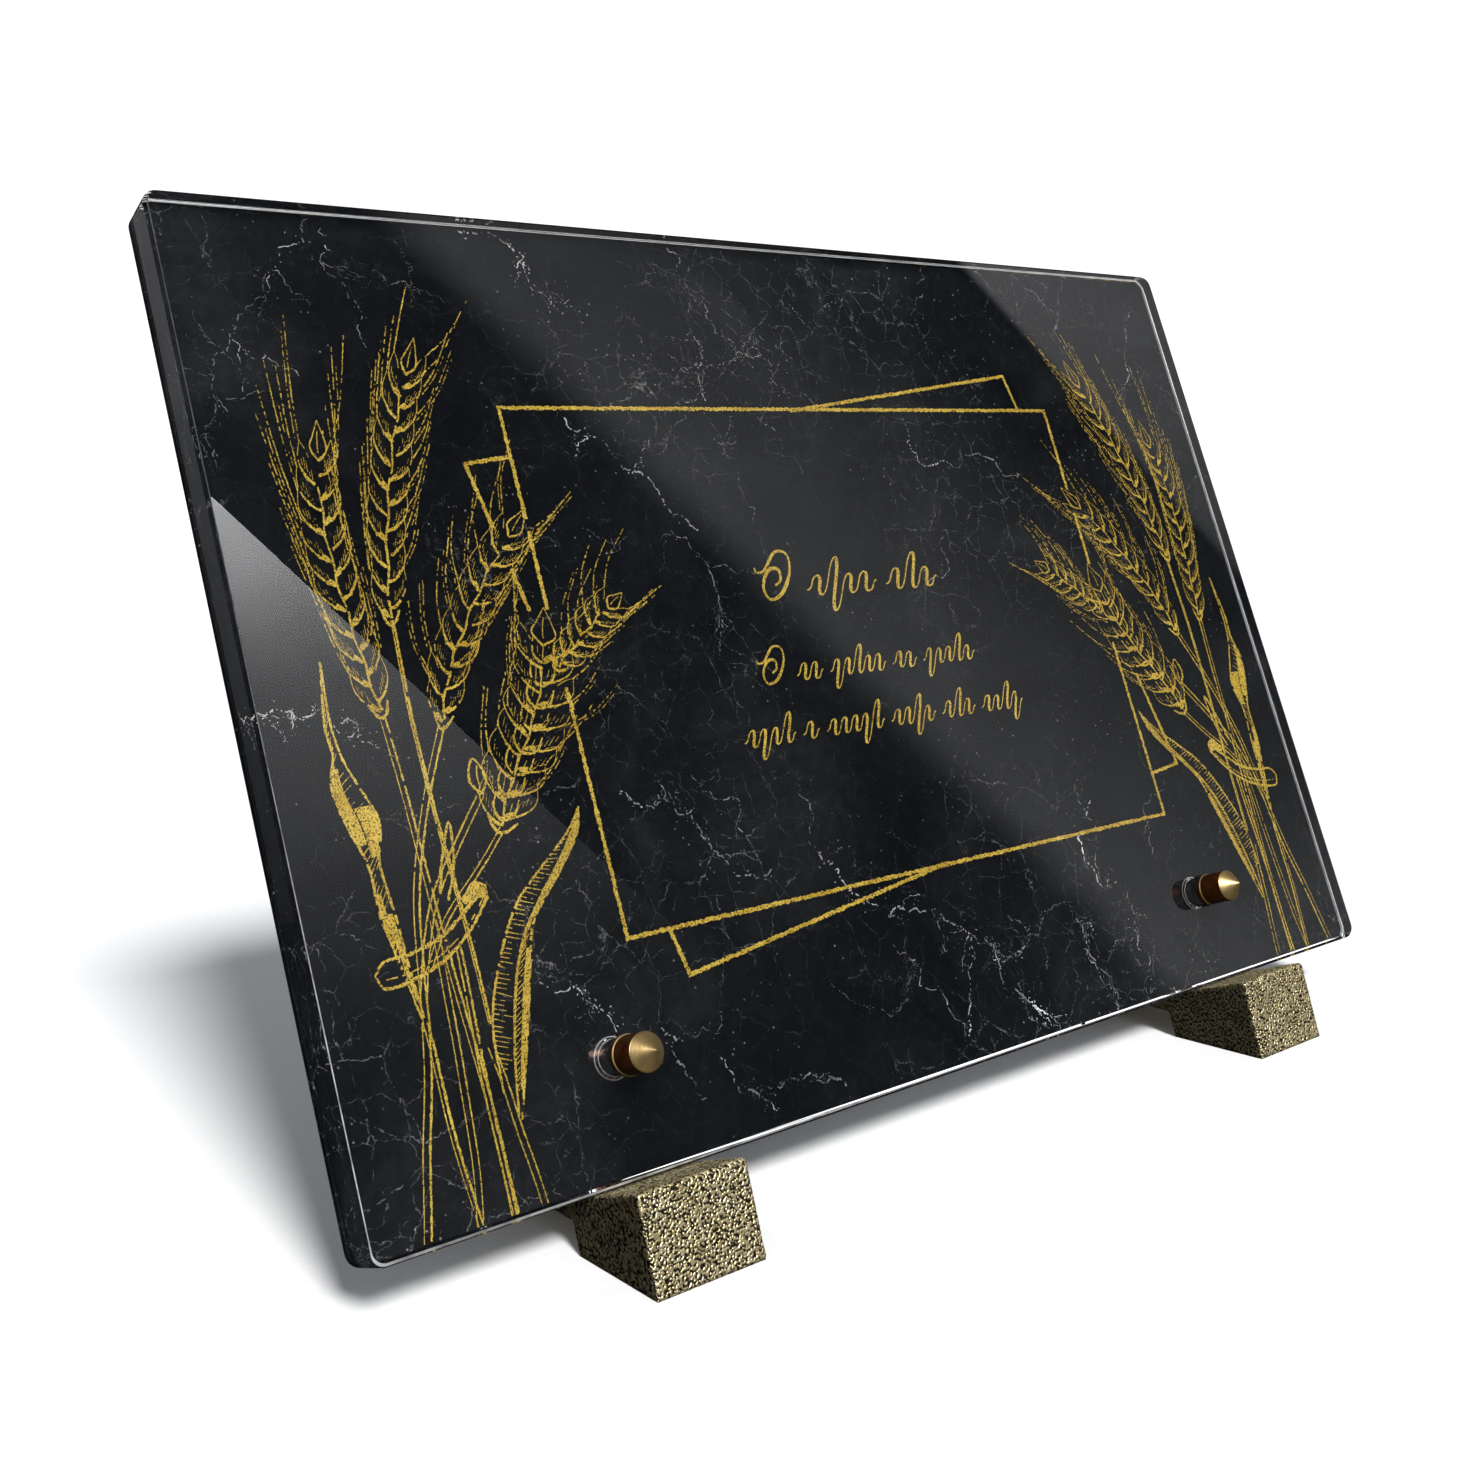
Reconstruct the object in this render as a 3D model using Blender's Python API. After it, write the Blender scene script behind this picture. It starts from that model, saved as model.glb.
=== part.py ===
"""A leaning grave plaque: a clear plate over a marble-print panel, on two cast feet with two cone screws.

Metres, +Z up, +Y towards the back, with the origin on the ground under the middle of the object.
Plate, panel and screws are modelled in the plaque's own leaning frame: local X runs along the lower edge,
local Y back through the thickness and local Z up the face. The feet are prisms along X.
"""

import math

import bmesh
import bpy
from mathutils import Vector

# Plate and panel
PLAQUE_WIDTH = 0.300
PLAQUE_HEIGHT = 0.200
PLATE_THICKNESS = 0.008
PANEL_THICKNESS = 0.002
CORNER_RADIUS = 0.0032
PLATE_CHAMFER = 0.0008
PANEL_CHAMFER = 0.0002
LEAN = math.radians(19.2)

# Screws, each placed by its height above the plaque's lower edge
SCREW_HEIGHT = 0.0229
HEAD_RADIUS = 0.00385
HEAD_LENGTH = 0.0058
HEAD_CONE = 0.0034
FLANGE_LIP = 0.0002
FLANGE_THICKNESS = 0.0014
SHANK_RADIUS = 0.0020
SHANK_GRIP = 0.0100
PLATE_HOLE_RADIUS = 0.0037
PLATE_HOLE_FLARE = 0.0003

# Cast feet
FOOT_SPACING = 0.183
FOOT_WIDTH = 0.0256
SEAT_HEIGHT = 0.0146
LEDGE_REACH = 0.0128
TOE_LEAN = math.radians(15.5)
ARM_RISE = 0.0360
ARM_TOP_THICKNESS = 0.0070
FRONT_PAD_LENGTH = 0.0256
ARCH_LENGTH = 0.0260
ARCH_HEIGHT = 0.0061
ARCH_LEAN = math.radians(16.0)
REAR_PAD_LENGTH = 0.0220
HEEL_HEIGHT = 0.0080
CAST_ROUNDING = 0.0008

# Gaps between neighbours
SEAT_GAP = 0.0003
SCREW_GAP = 0.0003
TIP_GAP = 0.0010

# Facets of the round stretches
CORNER_STEPS = 8
ROUND_STEPS = 48
ROUNDING_STEPS = 2

# Where the pieces meet, through the thickness from the plate's front face
PANEL_FRONT = PLATE_THICKNESS + SEAT_GAP
PANEL_BACK = PANEL_FRONT + PANEL_THICKNESS
ARM_FRONT = PANEL_BACK + SEAT_GAP
SHANK_END = ARM_FRONT + SHANK_GRIP
SHANK_HOLE_RADIUS = SHANK_RADIUS + SCREW_GAP


def leaning(back, rise):
    """The (y, z), before centring, of a point back from the plate's face and up from its lower edge."""
    return Vector(
        (
            back * math.cos(LEAN) + rise * math.sin(LEAN),
            SEAT_HEIGHT - back * math.sin(LEAN) + rise * math.cos(LEAN),
        )
    )


def toe_end():
    """The y of the toe's bottom edge, the frontmost point of the object."""
    top = leaning(-LEDGE_REACH, -SEAT_GAP)
    return top.x - top.y * math.tan(TOE_LEAN)


def heel_end():
    return toe_end() + FRONT_PAD_LENGTH + ARCH_LENGTH + REAR_PAD_LENGTH


def foot_profile():
    """The side outline of a foot in (y, z), from the toe's top edge round to the toe's bottom edge."""
    arch_front = toe_end() + FRONT_PAD_LENGTH
    arch_back = arch_front + ARCH_LENGTH
    arch_slant = ARCH_HEIGHT * math.tan(ARCH_LEAN)
    return [
        leaning(-LEDGE_REACH, -SEAT_GAP),
        leaning(ARM_FRONT, -SEAT_GAP),
        leaning(ARM_FRONT, ARM_RISE),
        leaning(ARM_FRONT + ARM_TOP_THICKNESS, ARM_RISE),
        Vector((heel_end(), HEEL_HEIGHT)),
        Vector((heel_end(), 0.0)),
        Vector((arch_back, 0.0)),
        Vector((arch_back - arch_slant, ARCH_HEIGHT)),
        Vector((arch_front + arch_slant, ARCH_HEIGHT)),
        Vector((arch_front, 0.0)),
        Vector((toe_end(), 0.0)),
    ]


def middle_depth():
    """The y halfway between the frontmost and the rearmost point, so that the origin is under the middle."""
    back = max(leaning(PANEL_BACK, PLAQUE_HEIGHT - PANEL_CHAMFER).x, heel_end())
    return (toe_end() + back) / 2


def clear_scene():
    for thing in list(bpy.data.objects):
        bpy.data.objects.remove(thing)


def material(name, colour, roughness, metallic=0.0, transmission=0.0, ior=1.5):
    made = bpy.data.materials.new(name)
    made.use_nodes = True
    made.diffuse_color = (*colour, 1.0)
    shader = made.node_tree.nodes["Principled BSDF"]
    shader.inputs["Base Color"].default_value = (*colour, 1.0)
    shader.inputs["Roughness"].default_value = roughness
    shader.inputs["Metallic"].default_value = metallic
    shader.inputs["Transmission Weight"].default_value = transmission
    shader.inputs["IOR"].default_value = ior
    return made


def add_object(name, shape, parent, finish=None):
    """Turns a bmesh into an object under its parent."""
    bmesh.ops.recalc_face_normals(shape, faces=shape.faces)
    mesh = bpy.data.meshes.new(name)
    shape.to_mesh(mesh)
    shape.free()
    made = bpy.data.objects.new(name, mesh)
    bpy.context.scene.collection.objects.link(made)
    made.parent = parent
    if finish:
        mesh.materials.append(finish)
        mesh.shade_smooth()
        mesh.set_sharp_from_angle(angle=math.radians(30))
    return made


def add_empty(name, location, lean=0.0, parent=None):
    made = bpy.data.objects.new(name, None)
    bpy.context.scene.collection.objects.link(made)
    made.parent = parent
    made.location = location
    made.rotation_euler = (-lean, 0.0, 0.0)
    return made


def extrude_outline(outline, travel):
    """A closed prism: the outline's points, as Vectors, swept by the vector travel."""
    shape = bmesh.new()
    face = shape.faces.new([shape.verts.new(point) for point in outline])
    swept = bmesh.ops.extrude_face_region(shape, geom=[face])
    moved = [item for item in swept["geom"] if isinstance(item, bmesh.types.BMVert)]
    bmesh.ops.translate(shape, vec=travel, verts=moved)
    return shape


def turned(profile):
    """A body turned about local Y from (y, radius) pairs, whose first and last radius are zero."""
    shape = bmesh.new()
    axis = Vector((0.0, 1.0, 0.0))
    points = [shape.verts.new((radius, y, 0.0)) for y, radius in profile]
    edges = [shape.edges.new(pair) for pair in zip(points, points[1:])]
    bmesh.ops.spin(
        shape,
        geom=points + edges,
        cent=(0.0, 0.0, 0.0),
        axis=axis,
        angle=math.tau,
        steps=ROUND_STEPS,
        use_merge=True,
    )
    bmesh.ops.remove_doubles(shape, verts=shape.verts, dist=1e-6)
    return shape


def rounded_rectangle(width, height, radius):
    """The plaque's outline in local (x, z), centred on X and standing on local Z = 0."""
    points = []
    centres = (
        (width / 2 - radius, height - radius),
        (radius - width / 2, height - radius),
        (radius - width / 2, radius),
        (width / 2 - radius, radius),
    )
    for quarter, (x, z) in enumerate(centres):
        for step in range(CORNER_STEPS + 1):
            angle = math.pi / 2 * (quarter + step / CORNER_STEPS)
            points.append((x + radius * math.cos(angle), z + radius * math.sin(angle)))
    return points


def cut_turned(target, name, parent, x, profile):
    """Cuts a turned hole along local Y at the screws' height."""
    cutter = add_object(name, turned(profile), parent)
    cutter.location = (x, 0.0, SCREW_HEIGHT)
    cutter.hide_render = True
    cutter.display_type = "WIRE"
    cut = target.modifiers.new(name, "BOOLEAN")
    cut.operation = "DIFFERENCE"
    cut.object = cutter


def straight_hole(start, end):
    """The profile of a hole for a screw's shank."""
    return [(start, 0.0), (start, SHANK_HOLE_RADIUS), (end, SHANK_HOLE_RADIUS), (end, 0.0)]


def flared_hole():
    """The profile of the plate's wide hole, whose rim is chamfered at the back."""
    flared = PLATE_HOLE_RADIUS + PLATE_HOLE_FLARE
    return [
        (-TIP_GAP, 0.0),
        (-TIP_GAP, PLATE_HOLE_RADIUS),
        (PLATE_THICKNESS - PLATE_HOLE_FLARE, PLATE_HOLE_RADIUS),
        (PLATE_THICKNESS, flared),
        (PLATE_THICKNESS + TIP_GAP, flared),
        (PLATE_THICKNESS + TIP_GAP, 0.0),
    ]


def build_sheet(name, parent, front, back, chamfer, hole, finish):
    """A flat sheet of the plaque's outline with chamfered edges and a hole for each screw."""
    outline = rounded_rectangle(PLAQUE_WIDTH, PLAQUE_HEIGHT, CORNER_RADIUS)
    shape = extrude_outline([Vector((x, front, z)) for x, z in outline], Vector((0.0, back - front, 0.0)))
    rims = [edge for edge in shape.edges if abs(edge.verts[0].co.y - edge.verts[1].co.y) < 1e-9]
    bmesh.ops.bevel(shape, geom=rims, offset=chamfer, segments=1, profile=0.5, affect="EDGES")
    sheet = add_object(name, shape, parent, finish)
    for side, x in screw_places():
        cut_turned(sheet, f"{name}_{side}_hole", parent, x, hole)


def screw_places():
    return (("left", -FOOT_SPACING / 2), ("right", FOOT_SPACING / 2))


def build_screw(side, x, parent, finish):
    """A brass screw: a pointed cap with a flange, a collar in the plate's hole and a shank into the foot."""
    seat = -SEAT_GAP
    flange_top = seat - FLANGE_THICKNESS
    shoulder = flange_top - HEAD_LENGTH
    flange = HEAD_RADIUS + FLANGE_LIP
    collar = PLATE_HOLE_RADIUS - SCREW_GAP
    profile = [
        (shoulder - HEAD_CONE, 0.0),
        (shoulder, HEAD_RADIUS),
        (flange_top, HEAD_RADIUS),
        (flange_top + FLANGE_LIP, flange),
        (seat, flange),
        (seat, collar),
        (PLATE_THICKNESS, collar),
        (PLATE_THICKNESS, SHANK_RADIUS),
        (SHANK_END, SHANK_RADIUS),
        (SHANK_END, 0.0),
    ]
    screw = add_object(f"{side}_screw", turned(profile), parent, finish)
    screw.location = (x, 0.0, SCREW_HEIGHT)


def build_foot(side, x, root, leaning_frame, finish):
    """A cast foot: a block with a ledge in front, an arm behind the plaque and a heel beyond an arch."""
    outline = [Vector((x - FOOT_WIDTH / 2, point.x, point.y)) for point in foot_profile()]
    shape = extrude_outline(outline, Vector((FOOT_WIDTH, 0.0, 0.0)))
    rounded = [edge for edge in shape.edges if max(vert.co.z for vert in edge.verts) > 1e-9]
    bmesh.ops.bevel(
        shape,
        geom=rounded,
        offset=CAST_ROUNDING,
        segments=ROUNDING_STEPS,
        profile=0.5,
        affect="EDGES",
        clamp_overlap=True,
    )
    foot = add_object(f"{side}_foot", shape, root, finish)
    bore = straight_hole(ARM_FRONT - TIP_GAP, SHANK_END + TIP_GAP)
    cut_turned(foot, f"{side}_foot_bore", leaning_frame, x, bore)


def main():
    clear_scene()
    clear = material("clear_acrylic", (0.93, 0.95, 0.96), 0.02, transmission=1.0, ior=1.49)
    marble = material("marble_print", (0.012, 0.013, 0.016), 0.25)
    bronze = material("hammered_bronze_paint", (0.30, 0.25, 0.13), 0.38, metallic=0.8)
    brass = material("brass", (0.72, 0.51, 0.22), 0.25, metallic=1.0)

    root = add_empty("plaque", (0.0, -middle_depth(), 0.0))
    frame = add_empty("leaning_frame", (0.0, 0.0, SEAT_HEIGHT), LEAN, root)
    panel_hole = straight_hole(PANEL_FRONT - TIP_GAP, PANEL_BACK + TIP_GAP)
    build_sheet("clear_plate", frame, 0.0, PLATE_THICKNESS, PLATE_CHAMFER, flared_hole(), clear)
    build_sheet("marble_panel", frame, PANEL_FRONT, PANEL_BACK, PANEL_CHAMFER, panel_hole, marble)
    for side, x in screw_places():
        build_foot(side, x, root, frame, bronze)
        build_screw(side, x, frame, brass)


main()
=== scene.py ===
"""The looks of a leaning grave plaque: clear acrylic over a gold-on-black marble print, on cast feet."""

import math
import random

import bmesh
import bpy
import numpy as np
from mathutils import Matrix, Vector, noise


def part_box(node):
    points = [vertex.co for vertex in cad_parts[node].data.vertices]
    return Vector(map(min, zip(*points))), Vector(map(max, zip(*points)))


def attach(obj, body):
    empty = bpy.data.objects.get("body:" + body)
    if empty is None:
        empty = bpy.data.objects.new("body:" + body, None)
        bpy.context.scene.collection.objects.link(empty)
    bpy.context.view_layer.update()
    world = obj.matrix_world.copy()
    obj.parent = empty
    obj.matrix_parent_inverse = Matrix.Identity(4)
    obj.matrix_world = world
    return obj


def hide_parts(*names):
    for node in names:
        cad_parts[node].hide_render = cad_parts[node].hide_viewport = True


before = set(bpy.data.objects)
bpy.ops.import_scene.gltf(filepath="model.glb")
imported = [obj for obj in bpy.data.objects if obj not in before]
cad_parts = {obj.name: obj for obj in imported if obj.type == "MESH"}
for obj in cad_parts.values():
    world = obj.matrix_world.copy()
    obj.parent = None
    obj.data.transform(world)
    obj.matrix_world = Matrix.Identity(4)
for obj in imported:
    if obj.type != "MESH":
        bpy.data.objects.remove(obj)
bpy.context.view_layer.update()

MM = 0.001

# The plaque, in metres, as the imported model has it
PLAQUE_WIDTH = 0.300
PLAQUE_HEIGHT = 0.200
PLATE_THICKNESS = 0.008
PLATE_CHAMFER = 0.0008
CORNER_RADIUS = 0.0032
LEAN = math.radians(19.2)
FOOT_SPACING = 0.183
SCREW_HEIGHT = 0.0229
PLATE_HOLE_FLARED = 0.0040
PLATE_HOLE_CUT = 0.004
# The painted light lines along the plate's edges and round the screws' holes
RIM_STEPS = 12
RIM_WIDTH = 0.00016
RIM_WIDTH_BELOW = 0.00055
RIM_REACH_BELOW = 0.74
RIM_LIFT = 0.00002
RIM_INSET = 0.00015
TOP_RIM_WIDTH = 0.00016
SIDE_RIM_WIDTH = 0.00060
HOLE_LINE = 0.00026

# The feet's hammered relief
HAMMER_VOXEL = 0.00043
HAMMER_SCALE = 2250.0
HAMMER_SCALE_BEHIND = 900.0
HAMMER_DEPTH = 0.00024
HAMMER_DEPTH_SIDES = 0.00011
TOE_BACK = -0.020
# Painted shade on the feet's sides and back, and painted light on their tops, as factors on their colour
SIDE_PAINTED_SHADE = 0.36
BACK_PAINTED_SHADE = 0.75
TOP_PAINTED_LIGHT = 1.9
FINE_BUMP = 0.30
PIT_START = 0.05
PIT_FALL = 0.26
GROUND_CONTACT = 0.001

# The printed layers, sealed in the clear plate just in front of its back face
GROUND_FRONT = 0.00785
GROUND_BACK = 0.00792
GOLD_DEPTH = 0.00778
SHEET_INSET = 0.00074

# The camera, fitted to the plate's corners in the picture
CAMERA_PLACE = (-0.25658, -0.26650, 0.13448)
CAMERA_TURN = (83.3044, 2.8278, -36.9888)
CAMERA_LENS = 39.322
CAMERA_SHIFT = (0.03371, -0.00683)


def leaning_matrix():
    """From the plaque's own frame (across, back from the front face, up the face) to the world."""
    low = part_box("clear_plate")[0]
    edge_y = low.y - PLATE_CHAMFER * math.sin(LEAN)
    edge_z = low.z + (PLATE_THICKNESS - PLATE_CHAMFER) * math.sin(LEAN)
    return Matrix.Translation((0.0, edge_y, edge_z)) @ Matrix.Rotation(-LEAN, 4, "X")


PLAQUE = leaning_matrix()


# A mix node's factor and two colours among its inputs, and its colour among its outputs
MIX_INPUTS = (0, 6, 7)
MIX_OUTPUT = 2


class Shader:
    """A material's node tree, built node by node. Inputs are values or other nodes' outputs."""

    def __init__(self, name):
        self.material = bpy.data.materials.new(name)
        self.material.use_nodes = True
        self.tree = self.material.node_tree
        self.surface = self.tree.nodes["Principled BSDF"]

    def add(self, kind, inputs=None, output=0, **settings):
        made = self.tree.nodes.new("ShaderNode" + kind)
        for key, value in settings.items():
            setattr(made, key, value)
        self.feed(made, inputs or {})
        return made.outputs[output]

    def feed(self, node, inputs):
        for key, value in inputs.items():
            if isinstance(value, bpy.types.NodeSocket):
                self.tree.links.new(value, node.inputs[key])
            else:
                node.inputs[key].default_value = value

    def principled(self, **inputs):
        self.feed(self.surface, {key.replace("_", " "): value for key, value in inputs.items()})

    def place(self):
        return self.add("TexCoord", output="Object")

    def noise(self, scale, detail=4.0, roughness=0.55, distortion=0.0, output="Fac"):
        inputs = {"Scale": scale, "Detail": detail, "Roughness": roughness, "Distortion": distortion}
        return self.add("TexNoise", {**inputs, "Vector": self.place()}, output)

    def ramp(self, factor, *stops):
        """A colour ramp from (position, colour) stops. Greys may be given as one number."""
        made = self.tree.nodes.new("ShaderNodeValToRGB")
        self.tree.links.new(factor, made.inputs["Fac"])
        bar = made.color_ramp
        while len(bar.elements) < len(stops):
            bar.elements.new(1.0)
        for element, (position, colour) in zip(bar.elements, stops):
            element.position = position
            element.color = (*colour, 1.0) if isinstance(colour, tuple) else (colour, colour, colour, 1.0)
        return made.outputs["Color"]

    def mix(self, factor, first, second, blend="MIX"):
        sides = [side if isinstance(side, bpy.types.NodeSocket) else (*side, 1.0) for side in (first, second)]
        inputs = dict(zip(MIX_INPUTS, (factor, *sides)))
        return self.add("Mix", inputs, MIX_OUTPUT, data_type="RGBA", blend_type=blend)

    def times(self, first, second):
        return self.mix(1.0, first, second, "MULTIPLY")

    def bump(self, height, strength, distance):
        made = self.add("Bump", {"Height": height, "Strength": strength, "Distance": distance})
        self.principled(Normal=made)

    def matt(self, colour):
        """The finished material, with no shine."""
        self.principled(Base_Color=colour, Roughness=1.0, Specular_IOR_Level=0.0)
        return self.material


def clear_acrylic():
    shader = Shader("clear_acrylic")
    shader.principled(Base_Color=(0.97, 0.98, 0.985, 1.0), Roughness=0.0, IOR=1.49, Transmission_Weight=1.0)
    return shader.material


def crackle(shader, place, scale, width, breaks):
    """Hair-fine crooked lines round cells of about 1 / scale, broken up by a noise."""
    warp = shader.noise(scale * 1.6, 4.0, 0.7, output="Color")
    shifted = shader.add("VectorMath", {0: warp, 1: (0.4 / scale,) * 3}, operation="MULTIPLY")
    warped = shader.add("VectorMath", {0: place, 1: shifted}, operation="ADD")
    inputs = {"Vector": warped, "Scale": scale}
    cells = shader.add("TexVoronoi", inputs, "Distance", feature="DISTANCE_TO_EDGE")
    lines = shader.ramp(cells, (0.0, 1.0), (width, 0.0))
    broken = shader.ramp(shader.noise(breaks, 5.0, 0.85), (0.47, 0.0), (0.60, 1.0))
    return shader.times(lines, broken)


def marble_colour(shader):
    """Bluish black with faint grey clouds, hair-fine crooked veins and speckles."""
    place = shader.place()
    ground = shader.ramp(
        shader.noise(22.0, 6.0, 0.62, 0.6),
        (0.34, (0.0045, 0.0052, 0.0064)),
        (0.52, (0.0075, 0.0083, 0.0098)),
        (0.76, (0.0190, 0.0198, 0.0215)),
    )
    mottle = shader.ramp(shader.noise(380.0, 5.0, 0.75), (0.3, 0.80), (0.7, 1.25))
    patches = shader.ramp(shader.noise(19.0, 3.0, 0.65), (0.46, 0.10), (0.64, 1.0))
    coarse = crackle(shader, place, 58.0, 0.008, 420.0)
    close = crackle(shader, place, 150.0, 0.015, 300.0)
    hairs = shader.mix(1.0, coarse, shader.times(close, (0.6, 0.6, 0.6)), "LIGHTEN")
    colour = shader.mix(shader.times(hairs, patches), shader.times(ground, mottle), (0.26, 0.262, 0.262))
    grains = shader.add("TexVoronoi", {"Vector": place, "Scale": 460.0}, "Distance")
    specks = shader.ramp(grains, (0.07, 1.0), (0.12, 0.0))
    dusty = shader.ramp(shader.noise(34.0, 4.0, 0.7), (0.50, 0.0), (0.62, 1.0))
    return shader.mix(shader.times(specks, dusty), colour, (0.24, 0.242, 0.242))


def marble_print():
    shader = Shader("marble_print")
    return shader.matt(marble_colour(shader))


def linked(name, data):
    """A new object in the scene."""
    made = bpy.data.objects.new(name, data)
    bpy.context.scene.collection.objects.link(made)
    return made


def as_object(name, shape, material, matrix=PLAQUE):
    """The gathered vertices and faces as an object, brought to the world by the matrix."""
    mesh = bpy.data.meshes.new(name)
    shape.to_mesh(mesh)
    shape.free()
    mesh.materials.append(material)
    mesh.transform(matrix)
    return linked(name, mesh)


def settle(made):
    """Put the result of an object's modifiers in place of its mesh."""
    bpy.context.view_layer.update()
    evaluated = made.evaluated_get(bpy.context.evaluated_depsgraph_get())
    result = bpy.data.meshes.new_from_object(evaluated)
    made.modifiers.clear()
    made.data = result


def outline(inset, steps=8):
    """The plaque's outline in its own (across, up), drawn in by the inset."""
    points = []
    corner = CORNER_RADIUS - inset
    right = PLAQUE_WIDTH / 2 - CORNER_RADIUS
    top = PLAQUE_HEIGHT - CORNER_RADIUS
    corners = ((right, top), (-right, top), (-right, CORNER_RADIUS), (right, CORNER_RADIUS))
    for quarter, (x, z) in enumerate(corners):
        for step in range(steps + 1):
            angle = math.pi / 2 * (quarter + step / steps)
            points.append((x + corner * math.cos(angle), z + corner * math.sin(angle)))
    return points


def screw_places():
    return (("left", -FOOT_SPACING / 2), ("right", FOOT_SPACING / 2))


def cut_holes(sheet, material):
    """Open the sheet round both screws."""
    cutters = []
    for side, x in screw_places():
        shape = bmesh.new()
        turn = Matrix.Translation((x, GROUND_FRONT, SCREW_HEIGHT)) @ Matrix.Rotation(math.pi / 2, 4, "X")
        size = {"radius1": PLATE_HOLE_FLARED, "radius2": PLATE_HOLE_FLARED, "depth": PLATE_HOLE_CUT}
        bmesh.ops.create_cone(shape, cap_ends=True, segments=64, matrix=turn, **size)
        cutters.append(as_object(f"{side}_ground_hole", shape, material))
    for cutter in cutters:
        cut = sheet.modifiers.new(cutter.name, "BOOLEAN")
        cut.operation = "DIFFERENCE"
        cut.object = cutter
    settle(sheet)
    for cutter in cutters:
        bpy.data.objects.remove(cutter)


def build_ground():
    """The printed marble ground: a thin sheet over the whole back of the clear plate, open at the screws."""
    material = marble_print()
    shape = bmesh.new()
    face = shape.faces.new([shape.verts.new((x, GROUND_FRONT, z)) for x, z in outline(SHEET_INSET)])
    swept = bmesh.ops.extrude_face_region(shape, geom=[face])
    moved = [item for item in swept["geom"] if isinstance(item, bmesh.types.BMVert)]
    bmesh.ops.translate(shape, vec=(0.0, GROUND_BACK - GROUND_FRONT, 0.0), verts=moved)
    bmesh.ops.recalc_face_normals(shape, faces=shape.faces)
    ground = as_object("marble_ground", shape, material)
    cut_holes(ground, material)
    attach(ground, "root")
    return material


# The gold artwork. Places are in millimetres on the plaque: across from its middle line, and up from
# its lower edge.
ART_CENTRE = (3.0, 101.2)
FRAME_CENTRE = (3.9, 101.4)
FRAME_SIZE = (171.2, 113.6)
FRAME_TURN = math.radians(7.5)
FRAME_LEAN = math.radians(12.0)
FRAME_LINE = 0.84
PRINT_REACH = 148.8
PRINT_LOW = 0.85
PRINT_HIGH = 199.1
STROKE_STEP = 0.45
GRIT = 0.22
SLANT = 0.50
EAR_WEIGHT = 0.74
STALK_WEIGHT = 0.62
LEAF_WEIGHT = 0.80
TIP_ROOM = 0.6
SMALLEST_FACE = 1e-12


def smooth(points, step=STROKE_STEP):
    """Evenly spaced points along a curve that passes through the given ones."""
    given = np.array([points[0], *points, points[-1]], float)
    given[0] = 2 * given[1] - given[2]
    given[-1] = 2 * given[-2] - given[-3]
    fine = []
    for a, b, c, d in zip(given, given[1:], given[2:], given[3:]):
        bend = 2 * a - 5 * b + 4 * c - d
        twist = 3 * b - a - 3 * c + d
        for t in np.linspace(0.0, 1.0, 12, endpoint=False):
            fine.append(0.5 * (2 * b + (c - a) * t + bend * t**2 + twist * t**3))
    fine.append(given[-2])
    return evenly(np.array(fine), step)


def evenly(points, step=STROKE_STEP):
    """The same path with a point every step."""
    points = np.asarray(points, float)
    along = np.concatenate([[0.0], np.cumsum(np.linalg.norm(np.diff(points, axis=0), axis=1))])
    count = max(2, round(along[-1] / step) + 1)
    places = np.linspace(0.0, along[-1], count)
    return np.stack([np.interp(places, along, points[:, axis]) for axis in (0, 1)], axis=1)


def headings(path):
    """Unit directions along a path, and the unit normals to their left."""
    along = np.gradient(path, axis=0)
    along /= np.maximum(np.linalg.norm(along, axis=1, keepdims=True), 1e-9)
    return along, np.stack([-along[:, 1], along[:, 0]], axis=1)


def drop_loose(shape):
    loose = [vertex for vertex in shape.verts if not vertex.link_faces]
    bmesh.ops.delete(shape, geom=loose, context="VERTS")


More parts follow.
